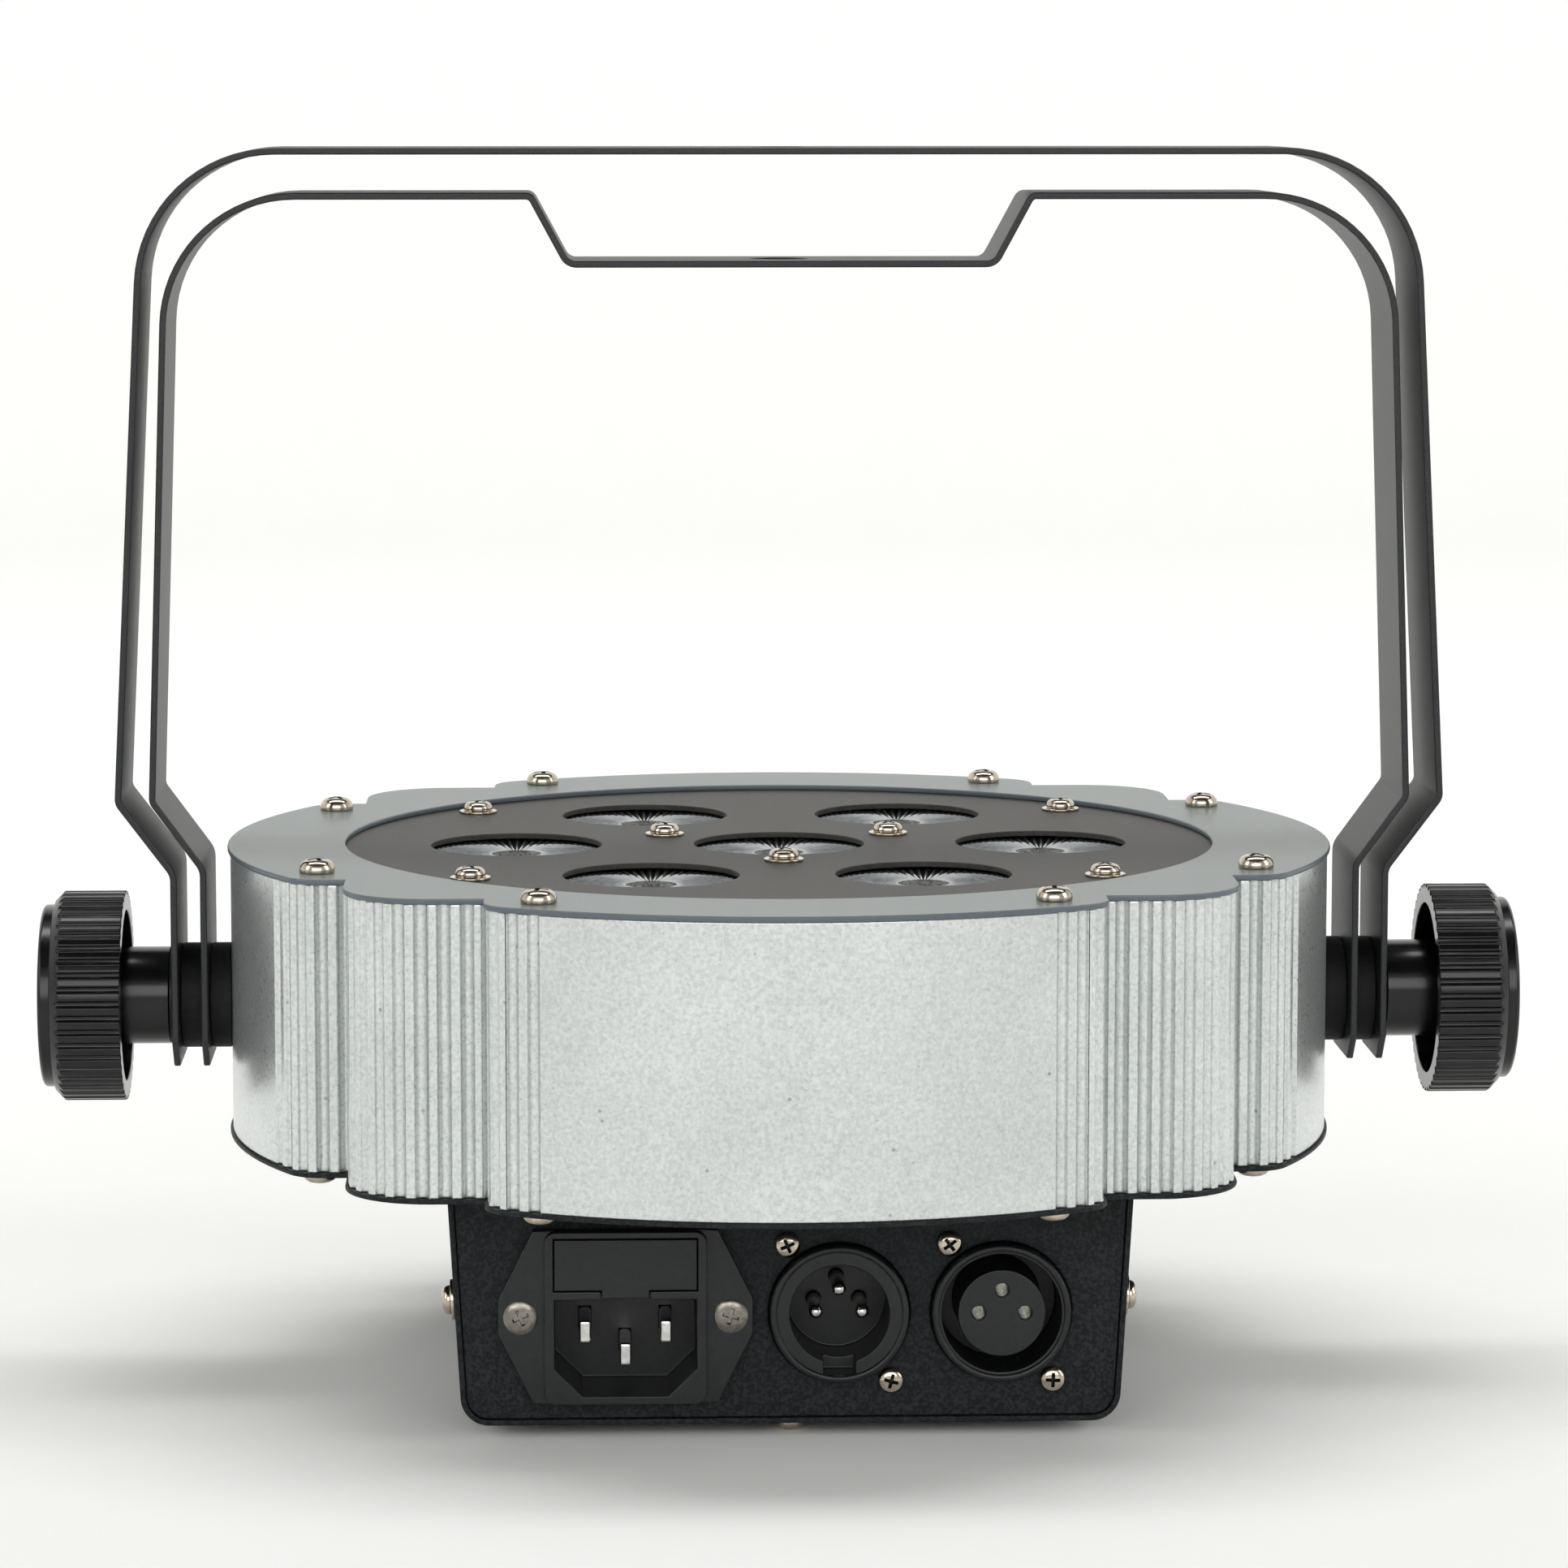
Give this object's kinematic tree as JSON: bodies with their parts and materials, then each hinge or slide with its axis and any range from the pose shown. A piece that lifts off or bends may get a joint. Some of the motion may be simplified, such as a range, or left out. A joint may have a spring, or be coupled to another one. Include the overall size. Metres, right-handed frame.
{
  "type": "par can light",
  "caption": "Flat round LED stage light with a fluted silver housing, lenses in a ring, a double yoke with hand knobs and a rear connector box.",
  "frame": {"origin": "under the middle of the light, level with the lowest screw heads, with the beam pointing up", "axes": "+Z along the beam, +X along the pivot studs towards the right-hand knob, -Y towards the connector panel"},
  "size_m": [0.2664, 0.1994, 0.2218],
  "materials": {
    "silver_paint": "satin sparkle paint",
    "grey_paint": "satin",
    "brown_grey_paint": "satin",
    "black_texture": "fine texture powder coat",
    "yoke_paint": "fine texture powder coat",
    "bright_screw": "polished",
    "zinc_steel": "zinc plated",
    "black_steel": "black oxide",
    "knob_plastic": "gloss",
    "insert_brass": "turned",
    "black_rubber": "matte",
    "lens_acrylic": "clear polished",
    "holder_plastic": "matte",
    "socket_plastic": "moulded",
    "contact_metal": "nickel plated",
    "circuit_board": "solder mask",
    "lamp_board": "white solder mask",
    "sink_aluminium": "extruded",
    "component_black": "moulded",
    "mains_insulation": "pvc",
    "low_voltage_insulation": "pvc",
    "window_red": "clear polished",
    "button_grey": "moulded",
    "fuse_glass": "clear"
  },
  "bodies": {
    "lamp": {"housing_ring": "silver_paint", "front_bezel": "grey_paint", "bezel_screws": "bright_screw", "back_plate": "black_texture", "back_plate_screws": "bright_screw", "inner_plate_screws": "bright_screw", "cable_grommet": "black_rubber", "lens_plate": "brown_grey_paint", "lens_plate_washers": "bright_screw", "lens_plate_screws": "bright_screw", "lens_plate_standoffs": "zinc_steel", "lens_centre": "lens_acrylic", "lens_outer_1": "lens_acrylic", "lens_outer_2": "lens_acrylic", "lens_outer_3": "lens_acrylic", "lens_outer_4": "lens_acrylic", "lens_outer_5": "lens_acrylic", "lens_outer_6": "lens_acrylic", "lens_holders": "holder_plastic", "led_board": "lamp_board", "heat_sink": "sink_aluminium", "heat_sink_standoffs": "zinc_steel", "rear_cover": "black_texture", "cover_washers": "bright_screw", "cover_screws": "bright_screw", "connector_panel": "black_texture", "control_panel": "black_texture", "mains_inlet": "socket_plastic", "inlet_pins": "contact_metal", "inlet_screws": "bright_screw", "signal_input": "socket_plastic", "signal_input_pins": "contact_metal", "signal_output": "socket_plastic", "signal_output_contacts": "contact_metal", "signal_screws": "bright_screw", "display_window": "window_red", "control_board": "circuit_board", "power_supply_board": "circuit_board", "power_supply_standoffs": "zinc_steel", "power_supply_parts": "component_black", "mains_wires": "mains_insulation", "low_voltage_wires": "low_voltage_insulation", "pivot_studs": "zinc_steel", "pivot_nuts": "zinc_steel", "friction_washers": "black_rubber", "safety_eye": "zinc_steel"},
    "outer_yoke": {"outer_bracket": "yoke_paint"},
    "inner_yoke": {"inner_bracket": "yoke_paint"},
    "left_clamp": {"pressure_washer_left": "black_steel"},
    "left_knob": {"hand_knob_left": "knob_plastic", "knob_insert_left": "insert_brass"},
    "right_clamp": {"pressure_washer_right": "black_steel"},
    "right_knob": {"hand_knob_right": "knob_plastic", "knob_insert_right": "insert_brass"},
    "fuse_holder": {"fuse_drawer": "socket_plastic", "fuse": "fuse_glass"},
    "button_1": {"menu_button_1": "button_grey"},
    "button_2": {"menu_button_2": "button_grey"},
    "button_3": {"menu_button_3": "button_grey"},
    "button_4": {"menu_button_4": "button_grey"}
  },
  "joints": [
    {"name": "outer_yoke_tilt", "type": "hinge", "parent": "lamp", "child": "outer_yoke", "pos_m": [0, 0, 0.0689], "axis": [1, 0, 0], "continuous": true},
    {"name": "inner_yoke_tilt", "type": "hinge", "parent": "lamp", "child": "inner_yoke", "pos_m": [0, 0, 0.0689], "axis": [1, 0, 0], "continuous": true},
    {"name": "left_clamp_travel", "type": "slide", "parent": "lamp", "child": "left_clamp", "axis": [-1, 0, 0], "range_m": [0, 0.0025]},
    {"name": "left_knob_turn", "type": "hinge", "parent": "left_clamp", "child": "left_knob", "pos_m": [0, 0, 0.0689], "axis": [-1, 0, 0], "range_deg": [0, 721]},
    {"name": "right_clamp_travel", "type": "slide", "parent": "lamp", "child": "right_clamp", "axis": [1, 0, 0], "range_m": [0, 0.0025]},
    {"name": "right_knob_turn", "type": "hinge", "parent": "right_clamp", "child": "right_knob", "pos_m": [0, 0, 0.0689], "axis": [1, 0, 0], "range_deg": [0, 721]},
    {"name": "fuse_drawer_slide", "type": "slide", "parent": "lamp", "child": "fuse_holder", "axis": [0, -1, 0], "range_m": [0, 0.016]},
    {"name": "button_1_press", "type": "slide", "parent": "lamp", "child": "button_1", "axis": [0, -1, 0], "range_m": [0, 0.001], "stiffness_N_per_m": 800, "springref_m": -0.0005},
    {"name": "button_2_press", "type": "slide", "parent": "lamp", "child": "button_2", "axis": [0, -1, 0], "range_m": [0, 0.001], "stiffness_N_per_m": 800, "springref_m": -0.0005},
    {"name": "button_3_press", "type": "slide", "parent": "lamp", "child": "button_3", "axis": [0, -1, 0], "range_m": [0, 0.001], "stiffness_N_per_m": 800, "springref_m": -0.0005},
    {"name": "button_4_press", "type": "slide", "parent": "lamp", "child": "button_4", "axis": [0, -1, 0], "range_m": [0, 0.001], "stiffness_N_per_m": 800, "springref_m": -0.0005}
  ],
  "couplings": [
    {"joint": "left_knob_turn", "follows": "left_clamp_travel", "rad_per_m": 5026.5},
    {"joint": "right_knob_turn", "follows": "right_clamp_travel", "rad_per_m": 5026.5}
  ]
}
